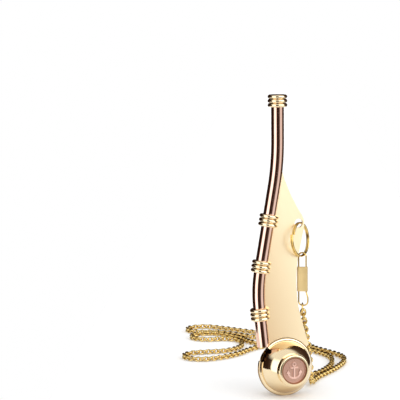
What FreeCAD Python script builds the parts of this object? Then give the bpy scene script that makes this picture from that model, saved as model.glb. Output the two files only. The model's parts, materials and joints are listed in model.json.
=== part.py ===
# Boatswain call standing on its ball, with its split ring, clip and neck chain.
# Millimetres. +Z is up, the keel plate lies in the XZ plane, the front medallion
# faces -Y, and the origin is the point where the ball stands on the surface.
import FreeCAD, Part
import math
import os
import Sketcher

V = FreeCAD.Vector
ROUND_X = V(1, 0, 0)
UP = V(0, 0, 1)
BACK = V(0, 1, 0)

doc = FreeCAD.newDocument("boatswain_call")

# Driving dimensions
SIZES = [
    ("pipe_outer", 5.4, "outside width of the gun, the blowing pipe"),
    ("pipe_bore", 4.2, "bore of the gun"),
    ("mouth_height", 129.0, "height of the mouth end above the surface"),
    ("mouth_x", -3.1, "place of the straight mouth length"),
    ("bend_height", 99.5, "height of the upper bend"),
    ("knee_x", -12.64, "place of the lower bend"),
    ("knee_height", 46.5, "height of the lower bend"),
    ("pipe_end_x", -10.0, "place of the end over the sound hole"),
    ("pipe_end_height", 21.9, "height of the end over the sound hole"),
    ("upper_bend_reach", 10.0, "length that the upper bend takes of each run"),
    ("lower_bend_reach", 8.0, "length that the lower bend takes of each run"),
    ("solder_gap", 0.02, "clearance at soldered joints"),
    ("bead_outer", 8.3, "outside width of a bead ring"),
    ("bead_width", 1.7, "width of a bead ring along the pipe"),
    ("bead_pitch", 1.8, "step from bead to bead"),
    ("upper_beads_height", 75.7, "height of the upper bead rings"),
    ("middle_beads_height", 56.1, "height of the middle bead rings"),
    ("lower_beads_height", 35.85, "height of the lower bead rings"),
    ("keel_thickness", 0.8, "sheet of the keel"),
    ("keel_tip_x", -1.2, "place of the keel's upper tip"),
    ("keel_tip_height", 96.4, "height of the keel's upper tip"),
    ("flank_radius", 75.0, "radius of the keel's slightly hollow upper edge"),
    ("brow_x", 8.2, "place where the keel's rounded nose starts"),
    ("brow_height", 76.9, "height where the keel's rounded nose starts"),
    ("chin_x", 8.5, "place where the keel's rounded nose ends"),
    ("chin_height", 70.6, "height where the keel's rounded nose ends"),
    ("nose_radius", 8.6, "radius of the keel's nose"),
    ("neck_x", 6.2, "place where the keel's hollow edge starts"),
    ("neck_height", 60.5, "height where the keel's hollow edge starts"),
    ("hip_x", 6.4, "place where the keel's hollow edge ends"),
    ("hip_height", 36.5, "height where the keel's hollow edge ends"),
    ("waist_radius", 66.0, "radius of the keel's hollow edge"),
    ("heel_x", 10.9, "place of the keel's heel beside the ball"),
    ("heel_height", 21.2, "height of the keel's heel beside the ball"),
    ("ring_hole_x", 6.3, "place of the hole for the split ring"),
    ("ring_hole_height", 74.0, "height of the hole for the split ring"),
    ("ring_hole_width", 3.8, "width of the hole for the split ring"),
    ("ball_height", 12.35, "height of the ball's centre, which leaves it a small flat"),
    ("seam_outer", 25.2, "outside width of the seam band"),
    ("seam_width", 1.9, "width of the seam band"),
    ("seam_round", 0.9, "rounding of the seam band"),
    ("dome_outer", 22.6, "outside width of the two domes"),
    ("dome_wall", 0.7, "sheet of the two domes"),
    ("dome_flat", 8.6, "distance from the keel's middle to the flat of a dome"),
    ("hole_width", 6.7, "width of the sound hole"),
    ("hole_angle", 149.0, "angle of the sound hole round the ball from +X"),
    ("bezel_outer", 13.9, "outside width of a bezel"),
    ("bezel_window", 10.4, "clear opening behind the medallion"),
    ("bezel_depth", 1.9, "depth of a bezel"),
    ("bezel_round", 0.7, "rounding of a bezel's outer edge"),
    ("bezel_ledge", 0.5, "ledge that carries the medallion"),
    ("medal_width", 11.5, "width of a medallion"),
    ("medal_thickness", 0.7, "sheet of a medallion"),
    ("medal_rim", 0.75, "width of a medallion's raised rim"),
    ("relief", 0.3, "height of the raised anchor and rim"),
    ("split_width", 14.95, "outside width of the split ring"),
    ("split_wire", 0.7, "wire of the split ring"),
    ("split_pitch", 0.76, "step between the split ring's two coils"),
    ("split_turn", 40.0, "angle between the split ring and the keel"),
    ("split_swing", 9.0, "angle at which the split ring hangs at rest"),
    ("split_sag", 0.1, "drop of the split ring's wire below the hole's centre"),
    ("split_end_angle", 150.0, "angle of the split ring's wire ends from its right"),
    ("clip_turn", 30.0, "angle of the clip from the keel"),
    ("chain_turn", 23.0, "angle of the chain's route from the keel"),
    ("clip_wire_width", 0.65, "wire of the clip"),
    ("clip_half", 1.6, "half the spacing of the clip's two wires"),
    ("clip_top", 10.4, "top of the clip above its middle"),
    ("clip_bottom", 12.3, "bottom of the clip below its middle"),
    ("clip_flat", 0.03, "half the straight wire left between the clip's round corners"),
    ("clip_bulge", 2.3, "reach of the sprung wire end"),
    ("bulge_drop", 2.4, "drop of the sprung end's widest place below the sleeve"),
    ("bulge_corner", 1.6, "length that the sprung end's lower bend takes of each run"),
    ("bulge_bend", 0.9, "length that the sprung end's widest bend takes of each run"),
    ("bulge_start", 0.4, "drop of the sprung end's first bend below the sleeve"),
    ("bulge_start_bend", 0.7, "length that the sprung end's first bend takes of each run"),
    ("clip_hang", 9.1, "height of the split ring's wire above the clip's middle"),
    ("sleeve_length", 10.5, "length of the sliding sleeve"),
    ("sleeve_drop", 1.0, "rest place of the sleeve below the clip's middle"),
    ("sleeve_sheet", 0.3, "sheet of the sleeve"),
    ("sleeve_round", 0.33, "rounding of the sleeve's folds"),
    ("slide_gap", 0.04, "clearance of the sleeve on the wires"),
    ("end_ring_width", 4.6, "outside width of the chain's end ring"),
    ("end_ring_wire", 0.7, "wire of the chain's end ring"),
    ("link_gap", 0.1, "clearance where one ring hangs on another"),
    ("chain_width", 2.4, "outside width of the chain"),
    ("front_strand_back", 1.3, "distance of the front strand behind the end ring's middle"),
    ("back_strand_back", 3.95, "distance of the back strand behind the end ring's middle"),
    ("strand_drop", 2.6, "drop of the strands' tops below the end ring's middle"),
]

sheet = doc.addObject("Spreadsheet::Sheet", "sizes")
for row, (alias, value, meaning) in enumerate(SIZES, 1):
    sheet.set("A%d" % row, alias)
    sheet.set("B%d" % row, str(value))
    sheet.set("C%d" % row, meaning)
    sheet.setAlias("B%d" % row, alias)
doc.recompute()


def size(alias):
    """The value of one driving dimension."""
    return float(getattr(sheet, alias))


sub_parts = []


def keep(obj, label):
    """Give a finished sub-part its name and remember it for the export."""
    obj.Label = label
    sub_parts.append(obj)
    return obj


def bind(obj, **bindings):
    """Bind properties of an object to expressions in the sheet's aliases."""
    for prop, text in bindings.items():
        obj.setExpression(prop, text)
    return obj


def cell(alias):
    return "sizes." + alias


# Paths and swept shapes

# The share of each run that a cord's arc may take, and the length taken as none
ARC_SHARE = 0.45
TINY = 1e-6


def corner_reach(points, k):
    """The length that a cord's arc takes of each run at point k."""
    before = (points[k] - points[k - 1]).Length
    after = (points[k + 1] - points[k]).Length
    return ARC_SHARE * min(before, after)


def rounded_path(points, reaches):
    """Straight runs joined by tangent arcs, as one wire."""
    edges = []
    last = points[0]
    for k in range(1, len(points) - 1):
        inward = (points[k] - points[k - 1]).normalize()
        outward = (points[k + 1] - points[k]).normalize()
        half_turn = inward.getAngle(outward) / 2
        reach = reaches[k - 1]
        radius = reach / math.tan(half_turn)
        start = points[k] - inward * reach
        end = points[k] + outward * reach
        middle_way = (outward - inward).normalize()
        sag = radius * (1 / math.cos(half_turn) - 1)
        middle = points[k] + middle_way * sag
        if (start - last).Length > TINY:
            edges.append(Part.LineSegment(last, start).toShape())
        edges.append(Part.Arc(start, middle, end).toShape())
        last = end
    edges.append(Part.LineSegment(last, points[-1]).toShape())
    return Part.Wire(edges)


def tube_along(path, width):
    """A round solid swept along a path."""
    start = path.OrderedEdges[0]
    at = start.valueAt(start.FirstParameter)
    way = start.tangentAt(start.FirstParameter)
    section = Part.Wire([Part.makeCircle(width / 2, at, way)])
    solid = path.makePipeShell([section], True, False)
    expected = math.pi * (width / 2) ** 2 * path.Length
    if abs(solid.Volume / expected - 1) > 0.01:
        raise RuntimeError("a swept tube has the wrong volume")
    return solid


def feature(name, shape):
    obj = doc.addObject("Part::Feature", name)
    obj.Shape = shape
    return obj


# The gun, a bent copper pipe open at both ends

def gun_points():
    return [
        V(size("mouth_x"), 0, size("mouth_height")),
        V(size("mouth_x"), 0, size("bend_height")),
        V(size("knee_x"), 0, size("knee_height")),
        V(size("pipe_end_x"), 0, size("pipe_end_height")),
    ]


gun_path = rounded_path(
    gun_points(), [size("upper_bend_reach"), size("lower_bend_reach")])


def make_gun():
    outside = tube_along(gun_path, size("pipe_outer"))
    bore = tube_along(gun_path, size("pipe_bore"))
    return keep(feature("GunPipe", outside.cut(bore)), "gun_pipe")


def pipe_room():
    """The gun without its bore, with the clearance of a soldered joint."""
    return tube_along(gun_path, size("pipe_outer") + 2 * size("solder_gap"))


def point_on_gun(height):
    """Point of the gun's middle line at a height, and its upward direction."""
    wide = size("mouth_height")
    level = Part.makePlane(wide, wide, V(-wide / 2, -wide / 2, height))
    at = gun_path.distToShape(level)[1][0][0]
    edge = min(gun_path.Edges, key=lambda e: e.distToShape(Part.Vertex(at))[0])
    way = edge.tangentAt(edge.Curve.parameter(at))
    if way.z < 0:
        way = way * -1
    return at, way


# Bead rings: torus, opened to the pipe and, beside the keel, to the keel's sheet

def make_bead(label, at, way, slotted):
    round_bead = bind(
        doc.addObject("Part::Torus", label + "_round"),
        Radius1=cell("bead_outer") + " / 2 - " + cell("bead_width") + " / 2",
        Radius2=cell("bead_width") + " / 2")
    gun_room = bind(
        doc.addObject("Part::Cylinder", label + "_pipe_room"),
        Radius=cell("pipe_outer") + " / 2 + " + cell("solder_gap"),
        Height=cell("bead_width") + " * 2")
    turn = FreeCAD.Rotation(UP, way)
    round_bead.Placement = FreeCAD.Placement(at, turn)
    gun_room.Placement = FreeCAD.Placement(at - way * size("bead_width"), turn)
    bead = doc.addObject("Part::Cut", label + "_bead")
    bead.Base = round_bead
    bead.Tool = gun_room
    if not slotted:
        return keep(bead, label)
    sheet_room = bind(
        doc.addObject("Part::Box", label + "_sheet_room"),
        Length=cell("bead_outer"),
        Width=cell("keel_thickness") + " + 2 * " + cell("solder_gap"),
        Height=cell("bead_outer") + " * 2")
    half_slot = size("keel_thickness") / 2 + size("solder_gap")
    sheet_room.Placement = FreeCAD.Placement(
        at + V(0, -half_slot, -size("bead_outer")), FreeCAD.Rotation())
    open_bead = doc.addObject("Part::Cut", label + "_open")
    open_bead.Base = bead
    open_bead.Tool = sheet_room
    return keep(open_bead, label)


def make_beads():
    top = size("mouth_height") - size("bead_width") / 2
    for k in range(3):
        at = V(size("mouth_x"), 0, top - k * size("bead_pitch"))
        make_bead("mouth_ring_%d" % (k + 1), at, UP, False)
    for group in ("upper", "middle", "lower"):
        middle, way = point_on_gun(size(group + "_beads_height"))
        for k in range(3):
            at = middle + way * ((1 - k) * size("bead_pitch"))
            make_bead("%s_ring_%d" % (group, k + 1), at, way, True)


# The keel: sketched plate, cut to the pipe and the seam band, with its ring hole

def bowed_edge(start, end, radius, bend):
    """Arc between two outline points, to the right of the way for bend 1."""
    chord = end - start
    side = V(chord.y, -chord.x, 0).normalize() * bend
    half = chord.Length / 2
    bow = radius - math.sqrt(radius ** 2 - half ** 2)
    return Part.Arc(start, start + chord * 0.5 + side * bow, end)


def make_keel():
    body = doc.addObject("PartDesign::Body", "KeelBody")
    plane = [f for f in body.Origin.OriginFeatures if f.Role == "XZ_Plane"][0]
    sketch = body.newObject("Sketcher::SketchObject", "KeelOutline")
    sketch.AttachmentSupport = [(plane, "")]
    sketch.MapMode = "FlatFace"
    corners = [
        ("keel_tip_x", "keel_tip_height"), ("brow_x", "brow_height"),
        ("chin_x", "chin_height"), ("neck_x", "neck_height"), ("hip_x", "hip_height"),
        ("heel_x", "heel_height"), ("", "ball_height"),
        ("pipe_end_x", "pipe_end_height"), ("knee_x", "knee_height"),
        ("mouth_x", "bend_height")]
    bows = {0: ("flank_radius", 1), 1: ("nose_radius", -1), 3: ("waist_radius", 1)}
    points = [V(size(x) if x else 0, size(z), 0) for x, z in corners]
    outline = []
    for k, start in enumerate(points):
        end = points[(k + 1) % len(points)]
        if k in bows:
            radius_name, bend = bows[k]
            outline.append(bowed_edge(start, end, size(radius_name), bend))
        else:
            outline.append(Part.LineSegment(start, end))
    sketch.addGeometry(outline, False)
    starts = [2 if bows.get(k, ("", 0))[1] < 0 else 1 for k in range(len(points))]
    for k in range(len(outline)):
        follower = (k + 1) % len(outline)
        sketch.addConstraint(Sketcher.Constraint(
            "Coincident", k, 3 - starts[k], follower, starts[follower]))
    for k, names in enumerate(corners):
        for kind, alias in zip(("DistanceX", "DistanceY"), names):
            if alias:
                tie = sketch.addConstraint(Sketcher.Constraint(
                    kind, -1, 1, k, starts[k], size(alias)))
                sketch.setExpression("Constraints[%d]" % tie, cell(alias))
            else:
                sketch.addConstraint(Sketcher.Constraint(
                    "PointOnObject", k, starts[k], -2))
    for k, (radius_name, bend) in bows.items():
        tie = sketch.addConstraint(
            Sketcher.Constraint("Radius", k, size(radius_name)))
        sketch.setExpression("Constraints[%d]" % tie, cell(radius_name))
    pad = body.newObject("PartDesign::Pad", "KeelPad")
    pad.Profile = sketch
    pad.Midplane = True
    pad.setExpression("Length", cell("keel_thickness"))
    hole_sketch = body.newObject("Sketcher::SketchObject", "RingHole")
    hole_sketch.AttachmentSupport = [(plane, "")]
    hole_sketch.MapMode = "FlatFace"
    centre = V(size("ring_hole_x"), size("ring_hole_height"), 0)
    hole_sketch.addGeometry(
        Part.Circle(centre, V(0, 0, 1), size("ring_hole_width") / 2), False)
    for kind, alias in (("DistanceX", "ring_hole_x"), ("DistanceY", "ring_hole_height")):
        tie = hole_sketch.addConstraint(
            Sketcher.Constraint(kind, -1, 1, 0, 3, size(alias)))
        hole_sketch.setExpression("Constraints[%d]" % tie, cell(alias))
    tie = hole_sketch.addConstraint(
        Sketcher.Constraint("Diameter", 0, size("ring_hole_width")))
    hole_sketch.setExpression("Constraints[%d]" % tie, cell("ring_hole_width"))
    pocket = body.newObject("PartDesign::Pocket", "RingHolePocket")
    pocket.Profile = hole_sketch
    pocket.Midplane = True
    pocket.setExpression("Length", cell("keel_thickness") + " * 2")
    doc.recompute()
    gun_room = feature("KeelPipeRoom", pipe_room())
    ball_room = bind(
        doc.addObject("Part::Cylinder", "KeelBallRoom"),
        Radius=cell("seam_outer") + " / 2 + " + cell("solder_gap"),
        Height=cell("keel_thickness") + " * 4")
    ball_room.Placement = FreeCAD.Placement(
        V(0, 2 * size("keel_thickness"), size("ball_height")),
        FreeCAD.Rotation(ROUND_X, 90))
    cut_pipe = doc.addObject("Part::Cut", "KeelBesidePipe")
    cut_pipe.Base = body
    cut_pipe.Tool = gun_room
    cut_ball = doc.addObject("Part::Cut", "KeelOverBall")
    cut_ball.Base = cut_pipe
    cut_ball.Tool = ball_room
    doc.recompute()
    solids = sorted(cut_ball.Shape.Solids, key=lambda s: s.Volume)
    return keep(feature("Keel", solids[-1]), "keel")


# The ball: a seam band in the keel's plane and two domes soldered to its faces

def ball_centre():
    return V(0, 0, size("ball_height"))


def hole_way():
    angle = math.radians(size("hole_angle"))
    return V(math.cos(angle), 0, math.sin(angle))


def sound_hole():
    """Room of the sound hole, from inside the ball to past its wall."""
    near = ball_centre() + hole_way() * (size("dome_outer") / 4)
    reach = size("dome_outer") / 2
    return Part.makeCylinder(size("hole_width") / 2, reach, near, hole_way())


def stand_room():
    """Everything below the surface that the ball stands on."""
    wide = size("seam_outer")
    return Part.makeBox(wide, wide, wide, V(-wide / 2, -wide / 2, -wide))


def make_seam():
    outer = size("seam_outer") / 2
    inner_dome = size("dome_outer") / 2 - size("dome_wall")
    half = size("seam_width") / 2
    inner = math.sqrt(inner_dome ** 2 - half ** 2)
    start = V(0, -half, size("ball_height"))
    band = Part.makeCylinder(outer, 2 * half, start, BACK)
    edges = [e for e in band.Edges if e.Curve.TypeId == "Part::GeomCircle"]
    band = band.makeFillet(size("seam_round"), edges)
    band = band.cut(Part.makeCylinder(inner, 2 * half, start, BACK))
    band = band.cut(sound_hole()).cut(pipe_room()).cut(stand_room())
    return keep(feature("SeamBand", band), "seam_band")


def make_dome(label, side):
    outer = size("dome_outer") / 2
    shell = Part.makeSphere(outer, ball_centre())
    shell = shell.cut(Part.makeSphere(outer - size("dome_wall"), ball_centre()))
    low = size("seam_width") / 2
    depth = size("dome_flat") - low
    slab = Part.makeCylinder(
        outer + 1, depth, ball_centre() + BACK * (side * low), BACK * side)
    shell = shell.common(slab).cut(sound_hole()).cut(pipe_room())
    return keep(feature(label.title().replace("_", ""), shell), label)


def make_bezel(label, side):
    """Turned ring on the dome's flat, with a ledge that carries the medallion."""
    start = ball_centre() + BACK * (side * size("dome_flat"))
    way = BACK * side
    depth = size("bezel_depth")
    ring = Part.makeCylinder(size("bezel_outer") / 2, depth, start, way)
    rim = [e for e in ring.Edges
           if e.Curve.TypeId == "Part::GeomCircle"
           and abs(e.Curve.Center.y - (start.y + side * depth)) < TINY]
    ring = ring.makeFillet(size("bezel_round"), rim)
    ring = ring.cut(Part.makeCylinder(size("bezel_window") / 2, depth, start, way))
    seat = start + way * size("bezel_ledge")
    pocket_width = size("medal_width") / 2 + size("solder_gap")
    ring = ring.cut(Part.makeCylinder(pocket_width, depth, seat, way))
    return keep(feature(label.title().replace("_", ""), ring), label)


# The anchor on a medallion, in tenths of the medallion's radius about its middle
EYE_MIDDLE = 4.8
EYE_OUTER = 1.65
EYE_INNER = 0.85
SHANK_WIDTH = 1.3
SHANK_FOOT = -5.5
SHANK_LENGTH = 8.9
STOCK_WIDTH = 6.3
STOCK_FOOT = 1.65
STOCK_HEIGHT = 1.1
ARMS_MIDDLE = -0.6
ARMS_OUTER = 5.6
ARMS_INNER = 4.4
ARMS_TOP = -1.65
FLUKE = [(6.5, -1.65), (3.05, -2.35), (4.8, 0.6)]


def anchor_relief(depth):
    """A plain raised anchor, drawn in the XY plane about the medallion's middle."""
    unit = size("medal_width") / 2 / 10

    def disc(radius, height):
        return Part.makeCylinder(radius * unit, depth, V(0, height * unit, 0))

    def bar(width, height, foot):
        corner = V(-width / 2 * unit, foot * unit, 0)
        return Part.makeBox(width * unit, height * unit, depth, corner)

    eye = disc(EYE_OUTER, EYE_MIDDLE).cut(disc(EYE_INNER, EYE_MIDDLE))
    arms = disc(ARMS_OUTER, ARMS_MIDDLE).cut(disc(ARMS_INNER, ARMS_MIDDLE))
    arms = arms.common(bar(2 * ARMS_OUTER, 2 * ARMS_OUTER, ARMS_TOP - 2 * ARMS_OUTER))
    raised = eye.fuse([
        bar(SHANK_WIDTH, SHANK_LENGTH, SHANK_FOOT),
        bar(STOCK_WIDTH, STOCK_HEIGHT, STOCK_FOOT), arms])
    for side in (-1, 1):
        corners = [V(side * x * unit, y * unit, 0) for x, y in FLUKE]
        outline = Part.makePolygon(corners + corners[:1])
        raised = raised.fuse(Part.Face(outline).extrude(UP * depth))
    return raised


def make_medallion(label, side):
    radius = size("medal_width") / 2
    thickness = size("medal_thickness")
    raised = size("relief")
    disc = Part.makeCylinder(radius, thickness)
    rim = Part.makeCylinder(radius, raised, V(0, 0, thickness))
    field = radius - size("medal_rim")
    rim = rim.cut(Part.makeCylinder(field, raised, V(0, 0, thickness)))
    anchor = anchor_relief(raised)
    anchor.translate(V(0, 0, thickness))
    medal = disc.fuse([rim, anchor]).removeSplitter()
    obj = feature(label.title().replace("_", ""), medal)
    seat = ball_centre() + BACK * (side * (size("dome_flat") + size("bezel_ledge")))
    face_front = FreeCAD.Rotation(ROUND_X, 90)
    if side > 0:
        face_front = FreeCAD.Rotation(UP, 180).multiply(face_front)
    obj.Placement = FreeCAD.Placement(seat, face_front)
    return keep(obj, label)


# The split ring: two coils of wire through the keel's hole

def split_middle_radius():
    return (size("split_width") - size("split_wire")) / 2


def ring_hole_centre():
    return V(size("ring_hole_x"), 0, size("ring_hole_height"))


def coil_middle(angle):
    """Height of the two coils' middle in the coil's own frame, at an angle."""
    share = ((angle - size("split_end_angle")) % 360) / 360
    return size("split_pitch") * (0.5 + share)


def split_place():
    """Place of the split ring: its own Z is its axis and its Y points up."""
    upright = FreeCAD.Rotation(ROUND_X, 90)
    turned = FreeCAD.Rotation(UP, size("split_turn"))
    swung = FreeCAD.Rotation(BACK, -size("split_swing"))
    hang = V(0, 0, -split_middle_radius() - size("split_sag"))
    return FreeCAD.Placement(ring_hole_centre(), swung).multiply(
        FreeCAD.Placement(hang, turned.multiply(upright)))


def split_low_point():
    """Middle of the two coils at the ring's lowest point, where the clip hangs."""
    aside = coil_middle(270) - coil_middle(90)
    return split_place().multVec(V(0, -split_middle_radius(), aside))


def make_split_ring():
    radius = split_middle_radius()
    pitch = size("split_pitch")
    helix = Part.makeHelix(pitch, pitch * 2, radius)
    first = helix.Edges[0]
    section = Part.Wire([Part.makeCircle(
        size("split_wire") / 2, first.valueAt(first.FirstParameter),
        first.tangentAt(first.FirstParameter))])
    coil = Part.Wire(helix.Edges).makePipeShell([section], True, True)
    obj = feature("SplitRing", coil)
    start = FreeCAD.Placement(
        V(0, 0, -coil_middle(90)), FreeCAD.Rotation(UP, size("split_end_angle")))
    obj.Placement = split_place().multiply(start)
    return keep(obj, "split_ring")


# The clip: one bent wire whose ends meet in a sliding sleeve of folded sheet

def clip_place(drop=0.0):
    """Place of the clip's own frame: x along its width, z up."""
    middle = split_low_point() - UP * (size("clip_hang") + drop)
    return FreeCAD.Placement(middle, FreeCAD.Rotation(UP, -size("clip_turn")))


def make_clip_wire():
    half = size("clip_half")
    top = size("clip_top")
    bottom = -size("clip_bottom")
    bulge = size("clip_bulge")
    sleeve_foot = -size("sleeve_length") / 2 - size("sleeve_drop")
    end_height = -size("sleeve_drop")
    end_gap = size("clip_wire_width") / 2
    points = [
        V(half, 0, end_height + end_gap),
        V(half, 0, top),
        V(-half, 0, top),
        V(-half, 0, bottom),
        V(bulge, 0, bottom),
        V(bulge, 0, sleeve_foot - size("bulge_drop")),
        V(half, 0, sleeve_foot - size("bulge_start")),
        V(half, 0, end_height - end_gap),
    ]
    corner = half - size("clip_flat")
    path = rounded_path(points, [
        corner, corner, corner, size("bulge_corner"), size("bulge_bend"),
        size("bulge_start_bend")])
    obj = feature("ClipWire", tube_along(path, size("clip_wire_width")))
    obj.Placement = clip_place()
    return keep(obj, "clip_wire")


def make_sleeve():
    wire = size("clip_wire_width")
    gap = size("slide_gap")
    wall = size("sleeve_sheet")
    length = size("sleeve_length")
    inner_x = size("clip_half") + wire / 2 + gap
    inner_y = wire / 2 + gap
    outside = Part.makeBox(
        2 * (inner_x + wall), 2 * (inner_y + wall), length,
        V(-inner_x - wall, -inner_y - wall, -length / 2))
    long_edges = [e for e in outside.Edges if abs(e.Length - length) < TINY]
    outside = outside.makeFillet(size("sleeve_round"), long_edges)
    room = Part.makeBox(
        2 * inner_x, 2 * inner_y, length, V(-inner_x, -inner_y, -length / 2))
    obj = feature("ClipSleeve", outside.cut(room))
    obj.Placement = clip_place(size("sleeve_drop"))
    return keep(obj, "clip_sleeve")


# The chain: end ring on the clip, two strands down to the surface, and the rest

def chain_frame(point):
    """Turn a place given as right, behind and up in the chain's view to X, Y, Z."""
    return FreeCAD.Rotation(UP, -size("chain_turn")).multVec(point)


def clip_low_point():
    return clip_place().Base - UP * size("clip_bottom")


def end_ring_middle():
    hang = size("end_ring_width") / 2 - size("end_ring_wire")
    rest = size("clip_wire_width") / 2 + size("link_gap")
    return clip_low_point() + UP * (rest - hang)


def make_end_ring():
    ring = bind(
        doc.addObject("Part::Torus", "EndRing"),
        Radius1=cell("end_ring_width") + " / 2 - " + cell("end_ring_wire") + " / 2",
        Radius2=cell("end_ring_wire") + " / 2")
    upright = FreeCAD.Rotation(BACK, 90)
    turned = FreeCAD.Rotation(UP, -size("chain_turn"))
    ring.Placement = FreeCAD.Placement(end_ring_middle(), turned.multiply(upright))
    return keep(ring, "chain_end_ring")


def cord_tube(label, points):
    """Tube of one free stretch of chain, printed with its length and radii."""
    reaches = [corner_reach(points, k) for k in range(1, len(points) - 1)]
    path = rounded_path(points, reaches)
    radii = [e.Curve.Radius for e in path.Edges if e.Curve.TypeId == "Part::GeomCircle"]
    solid = tube_along(path, size("chain_width"))
    print("%s: %.1f mm long, radii from %.1f to %.1f mm"
          % (label, path.Length, min(radii), max(radii)))
    return keep(feature(label.title().replace("_", ""), solid), label)


# Places along the chain, chosen by hand: to the right of the ball's foot and behind
# it in the chain's view, and up
FRONT_STRAND = [
    (8.7, 6.2, 27.5), (10.4, 10.0, 18.0), (11.0, 12.6, 9.8), (11.3, 15.6, 4.0),
    (11.8, 20.8, 1.5)]
BACK_STRAND = [
    (8.6, 9.0, 27.5), (8.9, 13.2, 18.0), (8.0, 16.4, 9.8), (7.4, 19.6, 4.2),
    (7.5, 25.0, 1.5)]
FLOOR_ROUTE = [
    (11.9, 21.4), (13.6, 31.0), (18.6, 42.0), (24.2, 56.0), (28.2, 71.0), (27.0, 84.0),
    (20.6, 94.2), (13.2, 105.0), (9.2, 119.0), (2.0, 133.5), (-9.0, 142.8),
    (-19.5, 149.5), (-30.5, 158.0), (-40.5, 165.0), (-48.6, 162.0), (-50.8, 153.7),
    (-45.3, 147.0), (-34.5, 147.7), (-25.0, 140.7), (-16.0, 132.1), (-3.5, 130.7),
    (0.8, 123.5), (-2.4, 115.6), (-10.7, 113.5), (-17.8, 119.4), (-20.8, 129.0),
    (-27.5, 137.3), (-34.0, 143.2), (-42.2, 143.6), (-47.6, 137.3), (-45.8, 128.8),
    (-38.0, 125.2), (-30.5, 129.0), (-22.6, 125.4), (-20.7, 115.6), (-21.8, 104.5),
    (-28.0, 95.5), (-38.5, 93.0), (-45.8, 90.0), (-48.6, 82.8), (-45.4, 75.8),
    (-38.0, 73.6), (-29.0, 79.3), (-21.8, 88.5), (-17.4, 99.5), (-11.0, 108.8),
    (-1.5, 109.8), (7.0, 105.3), (12.6, 98.0), (17.6, 90.0), (21.6, 80.5), (22.2, 67.5),
    (19.8, 54.5), (15.4, 43.0), (9.4, 35.0), (7.6, 25.7)]


def strand_top(behind):
    """Top of one strand, under and behind the end ring."""
    return end_ring_middle() + chain_frame(V(0, size(behind), -size("strand_drop")))


def make_chain():
    make_end_ring()
    front = [strand_top("front_strand_back")] + [chain_frame(V(*p)) for p in FRONT_STRAND]
    cord_tube("chain_front_strand", front)
    back = [strand_top("back_strand_back")] + [chain_frame(V(*p)) for p in BACK_STRAND]
    cord_tube("chain_back_strand", back)
    lying = size("chain_width") / 2
    cord_tube("chain_on_surface", [chain_frame(V(u, v, lying)) for u, v in FLOOR_ROUTE])


make_gun()
make_beads()
make_keel()
make_seam()
make_dome("front_dome", -1)
make_dome("back_dome", 1)
make_bezel("front_bezel", -1)
make_bezel("back_bezel", 1)
make_medallion("front_medallion", -1)
make_medallion("back_medallion", 1)
make_split_ring()
make_clip_wire()
make_sleeve()
make_chain()

doc.recompute()
for obj in doc.Objects:
    if "Invalid" in obj.State or "Error" in obj.State:
        raise RuntimeError("%s failed: %s" % (obj.Name, obj.State))
for obj in sub_parts:
    if obj.Shape.isNull() or not obj.Shape.isValid():
        raise RuntimeError("%s has no valid shape" % obj.Label)

os.makedirs("parts", exist_ok=True)
for obj in sub_parts:
    obj.Shape.exportStep("parts/%s.step" % obj.Label)
print("the clip hangs on the split ring at", split_low_point())
print("the chain hangs on the clip at", clip_low_point())
print("%d sub-parts written" % len(sub_parts))
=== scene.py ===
"""Looks of a boatswain call with its neck chain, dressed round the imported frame."""
import json
import math

import bmesh
import bpy
from bpy.props import FloatProperty, FloatVectorProperty, IntProperty, PointerProperty
from mathutils import Matrix, Vector


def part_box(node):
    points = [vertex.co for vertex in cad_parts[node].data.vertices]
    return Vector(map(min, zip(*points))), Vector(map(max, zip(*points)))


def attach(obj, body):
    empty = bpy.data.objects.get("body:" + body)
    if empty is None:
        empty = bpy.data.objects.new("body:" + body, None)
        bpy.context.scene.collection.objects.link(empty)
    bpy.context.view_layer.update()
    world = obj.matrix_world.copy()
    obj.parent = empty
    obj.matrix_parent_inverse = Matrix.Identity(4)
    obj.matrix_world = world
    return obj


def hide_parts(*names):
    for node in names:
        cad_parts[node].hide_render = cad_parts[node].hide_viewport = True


bl_info = {
    "name": "Boatswain Call",
    "version": (1, 0, 0),
    "blender": (4, 5, 0),
    "location": "3D View > Sidebar > Call",
    "description": "Dresses a boatswain call with its split ring, clip and neck chain",
    "category": "Object",
}

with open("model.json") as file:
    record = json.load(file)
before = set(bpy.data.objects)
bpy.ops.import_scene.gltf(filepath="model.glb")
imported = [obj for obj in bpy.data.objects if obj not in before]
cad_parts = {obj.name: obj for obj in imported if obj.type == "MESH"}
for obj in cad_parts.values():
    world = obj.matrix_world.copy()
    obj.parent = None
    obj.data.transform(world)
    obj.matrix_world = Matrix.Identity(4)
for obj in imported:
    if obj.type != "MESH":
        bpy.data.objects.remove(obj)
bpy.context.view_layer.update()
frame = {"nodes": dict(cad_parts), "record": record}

MM = 0.001
# Width of the photograph in pixels
PHOTO = 400
# Vertices of a CAD mesh nearer than this are one
MERGE = 0.002 * MM

# How far below a strand's top its end face reaches, where the strand leans
END_FACE = 0.45 * MM
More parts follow.
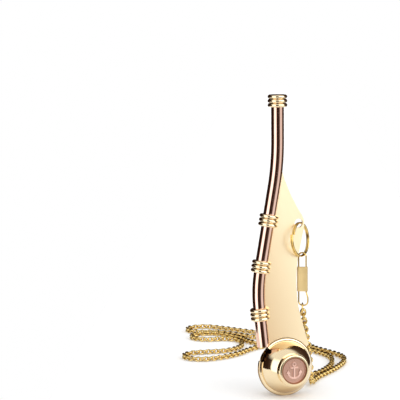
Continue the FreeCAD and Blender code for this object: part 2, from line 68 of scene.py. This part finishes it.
# The chain's route in its own view: right of the ball's foot, behind it and up, in metres
CHAIN_TURN = math.radians(23.0)
FRONT_STRAND = [
    (0.0087, 0.0062, 0.0275), (0.0104, 0.0100, 0.0180), (0.0110, 0.0126, 0.0098),
    (0.0113, 0.0156, 0.0040), (0.0118, 0.0208, 0.0015)]
BACK_STRAND = [
    (0.0086, 0.0090, 0.0275), (0.0089, 0.0132, 0.0180), (0.0080, 0.0164, 0.0098),
    (0.0074, 0.0196, 0.0042), (0.0075, 0.0250, 0.0015)]
FLOOR_ROUTE = [
    (0.0119, 0.0214), (0.0136, 0.0310), (0.0186, 0.0420), (0.0242, 0.0560),
    (0.0282, 0.0710), (0.0270, 0.0840), (0.0206, 0.0942), (0.0132, 0.1050),
    (0.0092, 0.1190), (0.0020, 0.1335), (-0.0090, 0.1428), (-0.0195, 0.1495),
    (-0.0305, 0.1580), (-0.0405, 0.1650), (-0.0486, 0.1620), (-0.0508, 0.1537),
    (-0.0453, 0.1470), (-0.0345, 0.1477), (-0.0250, 0.1407), (-0.0160, 0.1321),
    (-0.0035, 0.1307), (0.0008, 0.1235), (-0.0024, 0.1156), (-0.0107, 0.1135),
    (-0.0178, 0.1194), (-0.0208, 0.1290), (-0.0275, 0.1373), (-0.0340, 0.1432),
    (-0.0422, 0.1436), (-0.0476, 0.1373), (-0.0458, 0.1288), (-0.0380, 0.1252),
    (-0.0305, 0.1290), (-0.0226, 0.1254), (-0.0207, 0.1156), (-0.0218, 0.1045),
    (-0.0280, 0.0955), (-0.0385, 0.0930), (-0.0458, 0.0900), (-0.0486, 0.0828),
    (-0.0454, 0.0758), (-0.0380, 0.0736), (-0.0290, 0.0793), (-0.0218, 0.0885),
    (-0.0174, 0.0995), (-0.0110, 0.1088), (-0.0015, 0.1098), (0.0070, 0.1053),
    (0.0126, 0.0980), (0.0176, 0.0900), (0.0216, 0.0805), (0.0222, 0.0675),
    (0.0198, 0.0545), (0.0154, 0.0430), (0.0094, 0.0350), (0.0076, 0.0257)]


def linear(code):
    """Linear colour of an sRGB hex code."""
    values = []
    for k in (0, 2, 4):
        part = int(code[k:k + 2], 16) / 255
        values.append(part / 12.92 if part <= 0.04045 else ((part + 0.055) / 1.055) ** 2.4)
    return tuple(values)


class CallChain(bpy.types.PropertyGroup):
    """Sizes of the neck chain"""
    width: FloatProperty(
        name="Width", description="Width of the chain as it lies",
        default=2.4 * MM, unit="LENGTH")
    link_width: FloatProperty(
        name="Link width", description="Outside width of one link",
        default=2.9 * MM, unit="LENGTH")
    wire: FloatProperty(
        name="Wire", description="Wire of a link", default=0.8 * MM, unit="LENGTH")
    pitch: FloatProperty(
        name="Pitch", description="Step from link to link",
        default=1.9 * MM, unit="LENGTH")
    roll: FloatProperty(
        name="Roll", description="Turn of each link from the chain's middle position",
        default=math.radians(45.0), subtype="ANGLE")
    wire_sides: IntProperty(
        name="Wire sides", description="Faces round the wire of a link", default=6)
    link_steps: IntProperty(
        name="Link steps", description="Faces along a link", default=10)


class CallFinish(bpy.types.PropertyGroup):
    """Colours of the metals"""
    sheet_brass: FloatVectorProperty(
        name="Sheet brass", description="Pale brass sheet of the keel",
        subtype="COLOR", size=3, default=linear("FCEBC6"))
    sleeve_brass: FloatVectorProperty(
        name="Sleeve brass", description="Brass of the clip's sleeve",
        subtype="COLOR", size=3, default=linear("F8DDA2"))
    brass: FloatVectorProperty(
        name="Brass", description="Polished brass of the call",
        subtype="COLOR", size=3, default=linear("F5E1BB"))
    copper: FloatVectorProperty(
        name="Copper", description="Polished copper of the gun",
        subtype="COLOR", size=3, default=linear("F2CBBB"))
    chain_brass: FloatVectorProperty(
        name="Chain brass", description="Yellow brass of the chain, ring and clip",
        subtype="COLOR", size=3, default=linear("F0D28A"))


class CallView(bpy.types.PropertyGroup):
    """Place of the camera"""
    distance: FloatProperty(
        name="Distance", description="Level distance from the camera to the call",
        default=781 * MM, unit="LENGTH")
    height: FloatProperty(
        name="Height", description="Height of the camera above the floor",
        default=166 * MM, unit="LENGTH")
    pitch: FloatProperty(
        name="Pitch", description="Downward tilt of the camera",
        default=math.radians(5.97), subtype="ANGLE")
    turn: FloatProperty(
        name="Turn", description="Angle from the keel's face round to the camera",
        default=math.radians(23.0), subtype="ANGLE")
    roll: FloatProperty(
        name="Roll", description="Lean of the camera",
        default=math.radians(-0.46), subtype="ANGLE")
    lens_pixels: FloatProperty(
        name="Focal length", description="Focal length in pixels of the photograph",
        default=1847.0)
    ball_pixel: FloatProperty(
        name="Ball column", description="Column of the ball's middle in the photograph",
        default=285.0)


def settings(name):
    return getattr(bpy.context.scene, name)


# Node helpers

def add(tree, kind, links=None, **values):
    """One node with its settings, and its inputs set or linked by name or number."""
    node = tree.nodes.new(kind)
    for name, value in values.items():
        setattr(node, name, value)
    for key, value in (links or {}).items():
        socket = node.inputs[key]
        if isinstance(value, bpy.types.NodeSocket):
            tree.links.new(value, socket)
        else:
            socket.default_value = value
    return node


def new_material(name):
    material = bpy.data.materials.new(name)
    material.use_nodes = True
    tree = material.node_tree
    tree.nodes.clear()
    out = add(tree, "ShaderNodeOutputMaterial")
    return material, tree, out


# Share of each colour channel that tarnish leaves: it dulls brass toward olive, the
# keel's sheet only a little, and turns the low places of pressed copper brown. The
# sheet's and the copper's shares also colour the painted shade beside the gun and in
# the medallion's gap, the ball's its tarnish and the painted shade over its foot, and
# the seam band's a darker line along it
TARNISH = (0.72, 0.68, 0.48)
SHEET_TARNISH_AND_SHADE = (0.79, 0.68, 0.59)
COPPER_TARNISH_AND_SHADE = (0.32, 0.20, 0.13)
BALL_TARNISH_AND_FOOT_SHADE = (0.62, 0.50, 0.34)
SEAM_DARK_LINE = (0.30, 0.20, 0.11)
# Noise values between which tarnish and gloss change
SLOW_SPREAD = (0.35, 0.65)
FINE_SPREAD = (0.3, 0.7)
# Way across the keel, from the gun and the ball to the free upper edge, and where its
# painted shade starts and ends: the shade of the gun and the ball on the sheet, darkest
# beside them
KEEL_SHADE_ACROSS = (1.0, 0.0, 0.25)
KEEL_SHADE_FADE = (-4 * MM, 20 * MM)
# Ends of the painted shade over the ball's foot, and of the darker line on the seam band
# beside the keel
FOOT_SHADE_FADE = (8 * MM, 1.5 * MM)
SEAM_DARK_FADE = (0.85 * MM, 0.5 * MM)
# A medallion's relief, the tarnish of its ground, and the painted shade in the gap round
# it
RELIEF_DEPTH = 0.3 * MM
GROUND_TARNISH = 0.6
MEDAL_GAP_SHADE = 0.6 * MM
GAP_SHADE_EDGE = 0.2 * MM


def fade(tree, value, span, first=0.0, last=1.0):
    """A value that goes from the first to the last while another crosses a span."""
    return add(tree, "ShaderNodeMapRange", {
        "Value": value, "From Min": span[0], "From Max": span[1],
        "To Min": first, "To Max": last}).outputs["Result"]


def maths(tree, operation, *values):
    inputs = dict(enumerate(values))
    return add(tree, "ShaderNodeMath", inputs, operation=operation).outputs["Value"]


def metal(name, base, tarnish, roughness, marks, mark_size, patch_size, bump=0.02,
          stain_and_shade=TARNISH, tarnish_and_shade=None):
    """A metal whose tone, gloss and surface vary: fine polishing marks run over
    a slow change of tone, which is the thin tarnish of handled brass and copper.
    A function can name places to darken further: painted shade on the keel and over the
    ball's foot, tarnish in the medallion's ground, and a darker line on the seam band."""
    material, tree, out = new_material(name)
    place = add(tree, "ShaderNodeTexCoord").outputs["Object"]
    slow = add(tree, "ShaderNodeTexNoise", {
        "Vector": place, "Scale": 1 / patch_size, "Detail": 4.0, "Roughness": 0.55})
    fine = add(tree, "ShaderNodeTexNoise", {
        "Vector": place, "Scale": 1 / mark_size, "Detail": 3.0, "Roughness": 0.6})
    amount = fade(tree, slow.outputs["Fac"], SLOW_SPREAD, tarnish, 0.0)
    # Places named by the function darken further: painted shade on the keel and the ball's
    # foot, tarnish in the medallion's ground
    if tarnish_and_shade:
        amount = maths(tree, "MAXIMUM", amount, tarnish_and_shade(tree, place))
    tarnished_and_shaded = tuple(channel * share for channel, share in zip(base, stain_and_shade))
    tone = add(tree, "ShaderNodeMix", {
        0: amount, 6: (*base, 1.0), 7: (*tarnished_and_shaded, 1.0)}, data_type="RGBA")
    gloss = fade(tree, fine.outputs["Fac"], FINE_SPREAD,
                 roughness * (1 - marks), roughness * (1 + marks))
    relief = add(tree, "ShaderNodeBump", {
        "Strength": bump, "Distance": 0.1 * MM, "Height": fine.outputs["Fac"]})
    shader = add(tree, "ShaderNodeBsdfPrincipled", {
        "Base Color": tone.outputs[2], "Metallic": 1.0,
        "Roughness": gloss, "Normal": relief.outputs["Normal"]})
    tree.links.new(shader.outputs["BSDF"], out.inputs["Surface"])
    return material


def painted_shade_beside_gun(tree, place):
    """Painted shade of the gun and the ball on the keel, fading from its soldered sides to
    its free edge.
    """
    across = add(tree, "ShaderNodeVectorMath", {0: place, 1: KEEL_SHADE_ACROSS},
                 operation="DOT_PRODUCT").outputs["Value"]
    return fade(tree, across, KEEL_SHADE_FADE, 1.0, 0.0)


def ground_tarnish_and_gap_shade(tree, place):
    """Tarnish in a medallion's low ground, and painted shade in the gap round it."""
    part = add(tree, "ShaderNodeSeparateXYZ", {"Vector": place})
    low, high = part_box("front_medallion")
    middle = (low + high) / 2
    depth = maths(tree, "ABSOLUTE", part.outputs["Y"])
    ground = fade(tree, depth, (-low.y - RELIEF_DEPTH, -low.y), GROUND_TARNISH, 0.0)
    flat = add(tree, "ShaderNodeCombineXYZ", {
        "X": part.outputs["X"], "Z": part.outputs["Z"]})
    off_axis = add(tree, "ShaderNodeVectorMath", {
        0: flat.outputs["Vector"], 1: (middle.x, 0, middle.z)},
        operation="DISTANCE").outputs["Value"]
    rim = (high.x - low.x) / 2 - MEDAL_GAP_SHADE
    gap = fade(tree, off_axis, (rim - GAP_SHADE_EDGE, rim))
    return maths(tree, "MAXIMUM", ground, gap)


def along(axis, span):
    """Darkening that grows between two distances from the call's middle along an axis:
    painted shade near the ball's foot, and the darker line on the seam band.
    """
    def tarnish_and_shade(tree, place):
        part = add(tree, "ShaderNodeSeparateXYZ", {"Vector": place})
        return fade(tree, maths(tree, "ABSOLUTE", part.outputs[axis]), span)
    return tarnish_and_shade


def make_metals():
    """The call's metals, each by its common name and how it was finished."""
    finish = settings("call_finish")
    brass = tuple(finish.brass)
    copper = tuple(finish.copper)
    yellow = tuple(finish.chain_brass)
    return {
        # Buffed to a mirror, with a haze of fine marks
        "polished_brass": metal(
            "polished_brass", brass, tarnish=0.20, roughness=0.10, marks=0.35,
            mark_size=0.5 * MM, patch_size=12 * MM),
        # The same on the ball, with painted shade darkening it near the foot
        "ball_brass": metal(
            "ball_brass", brass, tarnish=0.15, roughness=0.10, marks=0.35,
            mark_size=0.5 * MM, patch_size=12 * MM,
            stain_and_shade=BALL_TARNISH_AND_FOOT_SHADE, tarnish_and_shade=along("Z", FOOT_SHADE_FADE)),
        # The same on the seam band, darker along its solder line
        "seam_brass": metal(
            "seam_brass", brass, tarnish=0.0, roughness=0.12, marks=0.35,
            mark_size=0.5 * MM, patch_size=12 * MM,
            stain_and_shade=SEAM_DARK_LINE, tarnish_and_shade=along("Y", SEAM_DARK_FADE)),
        # Rolled sheet, wiped with a soft mop: bright but without sharp reflections, with
        # painted shade beside the gun
        "mopped_brass": metal(
            "mopped_brass_sheet", tuple(finish.sheet_brass), tarnish=0.10,
            roughness=0.42, marks=0.15, mark_size=0.4 * MM, patch_size=18 * MM,
            stain_and_shade=SHEET_TARNISH_AND_SHADE, tarnish_and_shade=painted_shade_beside_gun),
        # Drawn tube, buffed: sharp light and dark stripes along its length
        "polished_copper": metal(
            "drawn_copper_tube", copper, tarnish=0.35, roughness=0.08, marks=0.35,
            mark_size=0.5 * MM, patch_size=10 * MM),
        # Pressed disc with dull ground and rubbed high places, and painted shade in the
        # gap round it
        "copper_medallion": metal(
            "pressed_copper", copper, tarnish=0.2, roughness=0.34, marks=0.2,
            mark_size=0.5 * MM, patch_size=0.9 * MM, bump=0.6,
            stain_and_shade=COPPER_TARNISH_AND_SHADE, tarnish_and_shade=ground_tarnish_and_gap_shade),
        # Drawn wire, worn smooth by the ring and clip it forms: thin bright lines
        "brass_wire": metal(
            "drawn_brass_wire", yellow, tarnish=0.5, roughness=0.15, marks=0.35,
            mark_size=0.4 * MM, patch_size=3 * MM),
        # Rolled sheet left as folded: an even satin without stripes
        "satin_brass": metal(
            "satin_brass_sheet", tuple(finish.sleeve_brass), tarnish=0.2,
            roughness=0.45, marks=0.2, mark_size=0.3 * MM, patch_size=4 * MM,
            bump=0.05),
        # Tumbled links: small bright spots, and dull gold between them
        "brass_chain": metal(
            "chain_brass", yellow, tarnish=0.4, roughness=0.18, marks=0.4,
            mark_size=0.4 * MM, patch_size=2 * MM),
    }


METALS = {}
SLOT_OF = {s["node"]: s["material_slot"] for s in frame["record"]["subparts"]}


# Mesh helpers

def piece_from_mesh(name, mesh):
    obj = bpy.data.objects.new(name, mesh)
    bpy.context.scene.collection.objects.link(obj)
    return obj


def smooth_by_angle(mesh, degrees):
    """Smooth shading with sharp edges where faces meet at more than an angle."""
    work = bmesh.new()
    work.from_mesh(mesh)
    limit = math.radians(degrees)
    for face in work.faces:
        face.smooth = True
    for edge in work.edges:
        edge.smooth = len(edge.link_faces) == 2 and edge.calc_face_angle(0) < limit
    work.to_mesh(mesh)
    work.free()


def body_of_node(node):
    for body, members in frame["record"]["behaviour"]["bodies"].items():
        if node in members:
            return body
    raise RuntimeError("no body holds " + node)


def finish_piece(obj, node, material=None):
    """Give a piece its material, put it on its node's body and let it stand for it."""
    slot = SLOT_OF[node]
    obj.data.materials.clear()
    obj.data.materials.append(material or METALS[slot])
    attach(obj, body_of_node(node))
    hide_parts(node)
    return obj


def dressed_copy(node, material=None, degrees=30.0):
    """A merged and smoothly shaded copy of a CAD node's mesh."""
    mesh = frame["nodes"][node].data.copy()
    mesh.name = node + "_surface"
    work = bmesh.new()
    work.from_mesh(mesh)
    bmesh.ops.remove_doubles(work, verts=work.verts, dist=MERGE)
    work.to_mesh(mesh)
    work.free()
    smooth_by_angle(mesh, degrees)
    return finish_piece(piece_from_mesh(node + "_skin", mesh), node, material)


# Camera and stage

def camera_turn():
    return Matrix.Rotation(-settings("call_view").turn, 4, "Z")


def make_camera():
    view = settings("call_view")
    data = bpy.data.cameras.new("photo_camera")
    data.sensor_width = 36.0
    data.lens = view.lens_pixels / PHOTO * data.sensor_width
    data.clip_start = 0.01
    camera = bpy.data.objects.new("photo_camera", data)
    bpy.context.scene.collection.objects.link(camera)
    aside = math.atan((view.ball_pixel - PHOTO / 2) / view.lens_pixels)
    forward = camera_turn() @ Vector((0, 1, 0))
    spot = -view.distance * forward
    camera.location = spot + Vector((0, 0, view.height))
    level = Matrix.Rotation(aside - view.turn, 4, "Z")
    tilt = Matrix.Rotation(math.pi / 2 - view.pitch, 4, "X")
    camera.rotation_euler = (level @ tilt @ Matrix.Rotation(view.roll, 4, "Z")).to_euler()
    bpy.context.scene.camera = camera


def make_floor():
    """Matt white studio paper. It ends a little in front of the call, as on the
    edge of a table, so that the gun shows the dark room and the ball the paper."""
    front = -45 * MM
    side = 100 * MM
    back = 3000 * MM
    mesh = bpy.data.meshes.new("studio_paper")
    mesh.from_pydata(
        [(-side, front, 0), (side, front, 0), (side, back, 0), (-side, back, 0)],
        [], [(0, 1, 2, 3)])
    mesh.transform(camera_turn())
    floor = piece_from_mesh("studio_paper", mesh)
    material, tree, out = new_material("matt_white_paper")
    grain = add(tree, "ShaderNodeTexNoise", {
        "Vector": add(tree, "ShaderNodeTexCoord").outputs["Object"],
        "Scale": 1 / (3 * MM), "Detail": 2.0})
    tone = add(tree, "ShaderNodeMix", {
        0: grain.outputs["Fac"], 6: (*linear("FCFCFC"), 1.0), 7: (*linear("FFFFFF"), 1.0)},
        data_type="RGBA")
    shader = add(tree, "ShaderNodeBsdfDiffuse", {"Color": tone.outputs[2]})
    tree.links.new(shader.outputs["BSDF"], out.inputs["Surface"])
    mesh.materials.append(material)


# Brightness of the studio round the call at eye level: degrees to the right of the
# camera as the call sees it, and level. A softbox stands to the left of the camera
# and a white board to its right. The room and the unlit sides are dark, and only
# mirroring rays see them: the floor and the camera see plain white.
STUDIO = [
    (-180, 0.05), (-135, 0.03), (-120, 0.02), (-86, 0.03), (-68, 0.06), (-60, 2.0),
    (-24, 2.0), (-15, 0.1), (-4, 0.03), (18, 0.04), (34, 0.10), (44, 0.3), (51, 1.0),
    (82, 1.0), (96, 0.12), (130, 0.05), (180, 0.05)]
# Where the studio is dark it is brown: wood, carpet and unlit walls
ROOM = (1.0, 0.44, 0.24)
ROOM_LEVEL = 0.3
# A second softbox hangs to the right of the camera, from just above eye level: its
# middle and half width in degrees, the width of its soft edge, and where it starts as
# the sine of the elevation
KEEL_LIGHT = (50, 36)
KEEL_LIGHT_EDGE = 6
KEEL_LIGHT_FOOT = (0.0, 0.08)
KEEL_LIGHT_LEVEL = 3.3
# Above this height, as the sine of the elevation, the white ceiling begins. It ends
# over the call, and the room behind is dark.
CEILING = (0.45, 0.65)
CEILING_BACK = (-0.2, 0.05)
# Below this one hangs the front of the white paper
PAPER_FRONT = (-0.45, -0.55)


def studio_colour(level):
    """Colour of the studio at a level, as a share of the brightest softbox."""
    brown = max(0.0, 1 - level / ROOM_LEVEL)
    return [level / KEEL_LIGHT_LEVEL * (1 + brown * (channel - 1)) for channel in ROOM]


def make_world():
    """White studio, with the dark places that polished metal shows."""
    world = bpy.data.worlds.new("studio")
    bpy.context.scene.world = world
    world.use_nodes = True
    tree = world.node_tree
    tree.nodes.clear()
    out = add(tree, "ShaderNodeOutputWorld")
    way = add(tree, "ShaderNodeTexCoord").outputs["Generated"]
    turned = add(tree, "ShaderNodeVectorRotate", {
        "Vector": way, "Angle": settings("call_view").turn}, rotation_type="Z_AXIS")
    part = add(tree, "ShaderNodeSeparateXYZ", {"Vector": turned.outputs["Vector"]})
    toward = maths(tree, "MULTIPLY", part.outputs["Y"], -1.0)
    round_angle = maths(tree, "ARCTAN2", part.outputs["X"], toward)
    share = fade(tree, round_angle, (-math.pi, math.pi))
    band = add(tree, "ShaderNodeValToRGB", {"Fac": share})
    ramp = band.color_ramp
    while len(ramp.elements) < len(STUDIO):
        ramp.elements.new(0.5)
    for element, (angle, level) in zip(ramp.elements, STUDIO):
        element.position = (angle + 180) / 360
        element.color = (*studio_colour(level), 1.0)
    middle, half_width = KEEL_LIGHT
    off_middle = maths(tree, "SUBTRACT", round_angle, math.radians(middle))
    inside = fade(tree, maths(tree, "ABSOLUTE", off_middle), (
        math.radians(half_width), math.radians(half_width - KEEL_LIGHT_EDGE)))
    over = fade(tree, part.outputs["Z"], KEEL_LIGHT_FOOT)
    eye_level = add(tree, "ShaderNodeMix", {
        0: maths(tree, "MULTIPLY", inside, over), 6: band.outputs["Color"],
        7: (1.0, 1.0, 1.0, 1.0)}, data_type="RGBA")
    height = fade(tree, part.outputs["Z"], CEILING)
    front = fade(tree, toward, CEILING_BACK)
    ceiling = maths(tree, "MULTIPLY", height, front)
    under = fade(tree, part.outputs["Z"], PAPER_FRONT)
    level = add(tree, "ShaderNodeMix", {
        0: maths(tree, "MAXIMUM", ceiling, under), 6: eye_level.outputs[2],
        7: (*studio_colour(1.0), 1.0)}, data_type="RGBA")
    studio = add(tree, "ShaderNodeBackground", {
        "Color": level.outputs[2], "Strength": KEEL_LIGHT_LEVEL})
    white = add(tree, "ShaderNodeBackground", {
        "Color": (1.0, 1.0, 1.0, 1.0), "Strength": 1.0})
    rays = add(tree, "ShaderNodeLightPath")
    plain = maths(tree, "MAXIMUM", rays.outputs["Is Camera Ray"],
                  rays.outputs["Is Diffuse Ray"])
    mixed = add(tree, "ShaderNodeMixShader", {
        0: plain, 1: studio.outputs["Background"],
        2: white.outputs["Background"]})
    tree.links.new(mixed.outputs["Shader"], out.inputs["Surface"])


# The chain

def in_chain_view(point):
    """A place in the chain's own view, turned to the row's axes."""
    return Matrix.Rotation(-CHAIN_TURN, 3, "Z") @ Vector(point)


def route_curve(name, points):
    """The chain's line: a NURBS spline with the route's points as control points."""
    data = bpy.data.curves.new(name, "CURVE")
    data.dimensions = "3D"
    data.resolution_u = 12
    spline = data.splines.new("NURBS")
    spline.points.add(len(points) - 1)
    for spline_point, place in zip(spline.points, points):
        spline_point.co = (*place, 1.0)
    spline.order_u = 3
    spline.use_endpoint_u = True
    obj = bpy.data.objects.new(name, data)
    bpy.context.scene.collection.objects.link(obj)
    return obj


def line_of(curve):
    """Points along a curve's line."""
    mesh = bpy.data.meshes.new_from_object(curve)
    points = [tuple(v.co) for v in mesh.vertices]
    bpy.data.meshes.remove(mesh)
    return points


def link_tree():
    """Oval wire links along a curve, turned alternately to each side."""
    tree = bpy.data.node_groups.new("chain_links", "GeometryNodeTree")
    face = tree.interface
    face.new_socket("Route", in_out="INPUT", socket_type="NodeSocketGeometry")
    for name in ("Link Width", "Wire", "Pitch", "Roll"):
        face.new_socket(name, in_out="INPUT", socket_type="NodeSocketFloat")
    for name in ("Wire Sides", "Link Steps"):
        face.new_socket(name, in_out="INPUT", socket_type="NodeSocketInt")
    face.new_socket("Metal", in_out="INPUT", socket_type="NodeSocketMaterial")
    face.new_socket("Links", in_out="OUTPUT", socket_type="NodeSocketGeometry")
    given = add(tree, "NodeGroupInput").outputs
    half_wire = maths(tree, "MULTIPLY", given["Wire"], 0.5)
    # Middle line of a link: half as wide as the width less one wire, and half as
    # long as the pitch and one wire, so that the links just hold each other
    inner = maths(tree, "SUBTRACT", given["Link Width"], given["Wire"])
    outer = maths(tree, "ADD", given["Pitch"], given["Wire"])
    oval = add(tree, "GeometryNodeCurvePrimitiveCircle", {
        "Resolution": given["Link Steps"], "Radius": 1.0})
    stretch = add(tree, "ShaderNodeCombineXYZ", {
        "X": maths(tree, "MULTIPLY", inner, 0.5),
        "Y": maths(tree, "MULTIPLY", outer, 0.5), "Z": 1.0})
    shaped = add(tree, "GeometryNodeTransform", {
        "Geometry": oval.outputs["Curve"], "Scale": stretch.outputs[0]})
    upright = add(tree, "GeometryNodeTransform", {
        "Geometry": shaped.outputs[0], "Rotation": (math.pi / 2, 0, 0)})
    wire = add(tree, "GeometryNodeCurvePrimitiveCircle", {
        "Resolution": given["Wire Sides"], "Radius": half_wire})
    link = add(tree, "GeometryNodeCurveToMesh", {
        "Curve": upright.outputs[0], "Profile Curve": wire.outputs["Curve"]})
    smooth = add(tree, "GeometryNodeSetShadeSmooth", {"Geometry": link.outputs[0]})
    places = add(tree, "GeometryNodeCurveToPoints", {
        "Curve": given["Route"], "Length": given["Pitch"]}, mode="LENGTH")
    index = add(tree, "GeometryNodeInputIndex")
    odd = maths(tree, "MODULO", index.outputs[0], 2.0)
    swap = maths(tree, "MULTIPLY_ADD", odd, 2.0, -1.0)
    roll = maths(tree, "MULTIPLY", swap, given["Roll"])
    about = add(tree, "FunctionNodeAxisAngleToRotation", {
        "Axis": (0.0, 0.0, 1.0), "Angle": roll})
    turned = add(tree, "FunctionNodeRotateRotation", {
        "Rotation": places.outputs["Rotation"], "Rotate By": about.outputs[0]},
        rotation_space="LOCAL")
    copies = add(tree, "GeometryNodeInstanceOnPoints", {
        "Points": places.outputs["Points"], "Instance": smooth.outputs[0],
        "Rotation": turned.outputs[0]})
    real = add(tree, "GeometryNodeRealizeInstances", {"Geometry": copies.outputs[0]})
    painted = add(tree, "GeometryNodeSetMaterial", {
        "Geometry": real.outputs[0], "Material": given["Metal"]})
    add(tree, "NodeGroupOutput", {"Links": painted.outputs[0]})
    return tree


def run_tree(obj, tree, values):
    """Run a Geometry Nodes tree on an object and give the result as a plain mesh."""
    modifier = obj.modifiers.new(tree.name, "NODES")
    modifier.node_group = tree
    for item in tree.interface.items_tree:
        if item.in_out == "INPUT" and item.name in values:
            modifier[item.identifier] = values[item.name]
    graph = bpy.context.evaluated_depsgraph_get()
    mesh = bpy.data.meshes.new_from_object(obj.evaluated_get(graph))
    obj.modifiers.remove(modifier)
    return mesh


def chain_piece(node, points):
    """Links along one stretch of chain."""
    chain = settings("call_chain")
    curve = route_curve(node + "_route", points)
    values = {
        "Link Width": chain.link_width, "Wire": chain.wire, "Pitch": chain.pitch,
        "Roll": chain.roll, "Wire Sides": chain.wire_sides,
        "Link Steps": chain.link_steps, "Metal": METALS["brass_chain"]}
    mesh = run_tree(curve, LINKS["tree"], values)
    line = line_of(curve)
    bpy.data.objects.remove(curve)
    links = finish_piece(piece_from_mesh(node.replace("chain", "links"), mesh), node)
    return links


LINKS = {}
OWN_METAL = {
    "keel": "mopped_brass", "front_dome": "ball_brass", "back_dome": "ball_brass",
    "seam_band": "seam_brass"}
CHAIN_NODES = ("chain_on_surface", "chain_front_strand", "chain_back_strand")


class CALL_OT_stage(bpy.types.Operator):
    """Camera, lights and floor"""
    bl_idname = "call.stage"
    bl_label = "Stage"

    def execute(self, context):
        context.scene.view_settings.view_transform = "Standard"
        make_camera()
        make_floor()
        make_world()
        return {"FINISHED"}


class CALL_OT_metals(bpy.types.Operator):
    """Materials of the call"""
    bl_idname = "call.metals"
    bl_label = "Metals"

    def execute(self, context):
        METALS.update(make_metals())
        return {"FINISHED"}


class CALL_OT_chain(bpy.types.Operator):
    """Neck chain on the surface and its two strands up to the end ring"""
    bl_idname = "call.chain"
    bl_label = "Chain"

    def execute(self, context):
        LINKS["tree"] = link_tree()
        lying = settings("call_chain").width / 2
        floor = [in_chain_view((u, v, lying)) for u, v in FLOOR_ROUTE]
        chain_piece("chain_on_surface", floor)
        for node, route in (("chain_front_strand", FRONT_STRAND),
                            ("chain_back_strand", BACK_STRAND)):
            top = strand_top(node)
            points = [top] + [in_chain_view(p) for p in route]
            chain_piece(node, points)
        return {"FINISHED"}


def strand_top(node):
    """Middle of a strand's upper end face, read from its CAD tube."""
    mesh = frame["nodes"][node].data
    high = max(v.co.z for v in mesh.vertices)
    near = [v.co for v in mesh.vertices if v.co.z > high - END_FACE]
    return sum(near, Vector()) / len(near)


class CALL_OT_call(bpy.types.Operator):
    """Gun, bead rings, keel, ball and the ring and clip"""
    bl_idname = "call.body"
    bl_label = "Call"

    def execute(self, context):
        for node in sorted(frame["nodes"]):
            if node not in CHAIN_NODES:
                dressed_copy(node, METALS.get(OWN_METAL.get(node)))
        return {"FINISHED"}


class CALL_PT_panel(bpy.types.Panel):
    """Lists the call's steps and sizes"""
    bl_label = "Boatswain Call"
    bl_idname = "CALL_PT_panel"
    bl_space_type = "VIEW_3D"
    bl_region_type = "UI"
    bl_category = "Call"

    def draw(self, context):
        for step in STEPS:
            self.layout.operator(step.bl_idname)
        for name in ("width", "wire", "pitch", "roll"):
            self.layout.prop(context.scene.call_chain, name)


GROUPS = {"call_chain": CallChain, "call_finish": CallFinish, "call_view": CallView}
STEPS = [CALL_OT_metals, CALL_OT_stage, CALL_OT_chain, CALL_OT_call]


def register():
    for name, group in GROUPS.items():
        bpy.utils.register_class(group)
        setattr(bpy.types.Scene, name, PointerProperty(type=group))
    for step in STEPS + [CALL_PT_panel]:
        bpy.utils.register_class(step)


def unregister():
    for step in STEPS + [CALL_PT_panel]:
        bpy.utils.unregister_class(step)
    for name, group in GROUPS.items():
        delattr(bpy.types.Scene, name)
        bpy.utils.unregister_class(group)


def main():
    register()
    bpy.ops.call.metals()
    bpy.ops.call.stage()
    bpy.ops.call.chain()
    bpy.ops.call.body()


if __name__ == "__main__":
    main()
